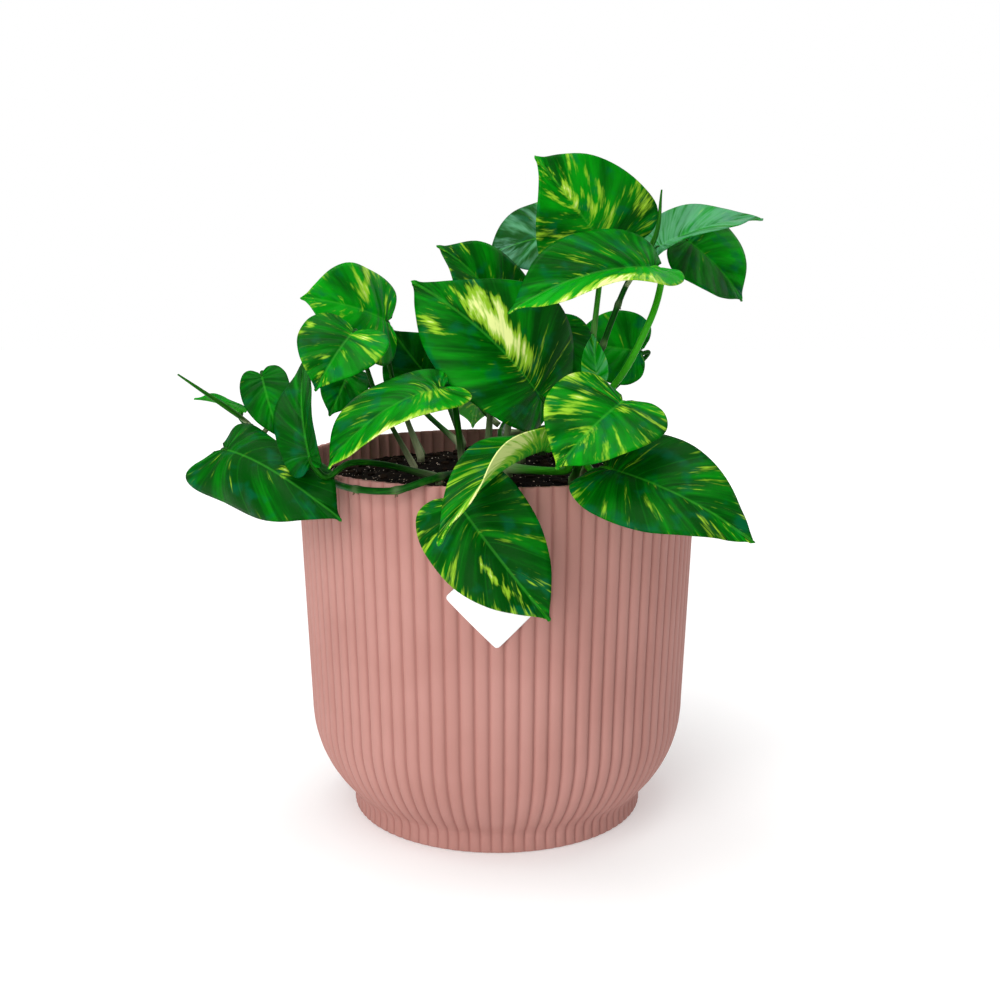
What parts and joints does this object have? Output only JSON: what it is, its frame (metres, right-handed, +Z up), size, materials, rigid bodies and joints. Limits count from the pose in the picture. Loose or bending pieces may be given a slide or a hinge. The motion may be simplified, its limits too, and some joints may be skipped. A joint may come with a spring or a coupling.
{
  "type": "potted pothos plant",
  "caption": "Golden pothos with variegated heart-shaped leaves, growing and trailing from a blush reeded round pot with a square label on its front.",
  "frame": {"origin": "centre of the pot's flat underside", "axes": "+Z up through the rim's centre; -Y out of the front, where the label is; +X to the right as the label is seen"},
  "size_m": [0.2543, 0.2523, 0.2939],
  "materials": {
    "pot": "matt blush pink, moulded with fine upright reeds",
    "soil": "near-black moist potting soil with small pale grit and bark",
    "label": "white satin sticker, blank",
    "blade": "waxy green leaf splashed with cream and yellow-green along its veins",
    "petiole": "smooth green stalk, paler at its sheath",
    "vine": "ribbed green stem with leaf joints",
    "rolled_leaf": "glossy light green young leaf, still rolled"
  },
  "bodies": {
    "root": {"blade_back_left": "blade", "blade_back_mid": "blade", "blade_back_right": "blade", "blade_crown": "blade", "blade_crown_front": "blade", "blade_front_fold": "blade", "blade_front_low": "blade", "blade_heart": "blade", "blade_heart_new": "blade", "blade_heart_shade": "blade", "blade_left_heart": "blade", "blade_left_high": "blade", "blade_left_low": "blade", "blade_left_rear": "blade", "blade_left_sliver": "blade", "blade_left_small": "blade", "blade_left_tall": "blade", "blade_mid_broad": "blade", "blade_mid_gloss": "blade", "blade_mid_high": "blade", "blade_mid_shade": "blade", "blade_mid_strap": "blade", "blade_right_low": "blade", "blade_right_rear": "blade", "blade_right_shade": "blade", "blade_right_wing": "blade", "label": "label", "petiole_back_left": "petiole", "petiole_back_mid": "petiole", "petiole_back_right": "petiole", "petiole_crown": "petiole", "petiole_crown_front": "petiole", "petiole_front_fold": "petiole", "petiole_front_low": "petiole", "petiole_heart": "petiole", "petiole_heart_new": "petiole", "petiole_heart_shade": "petiole", "petiole_left_heart": "petiole", "petiole_left_high": "petiole", "petiole_left_low": "petiole", "petiole_left_rear": "petiole", "petiole_left_sliver": "petiole", "petiole_left_small": "petiole", "petiole_left_tall": "petiole", "petiole_mid_broad": "petiole", "petiole_mid_gloss": "petiole", "petiole_mid_high": "petiole", "petiole_mid_shade": "petiole", "petiole_mid_strap": "petiole", "petiole_right_low": "petiole", "petiole_right_rear": "petiole", "petiole_right_shade": "petiole", "petiole_right_wing": "petiole", "pot": "pot", "rolled_leaf_crown": "rolled_leaf", "rolled_leaf_left": "rolled_leaf", "soil": "soil", "vine_back": "vine", "vine_left": "vine", "vine_up": "vine"}
  },
  "joints": []
}
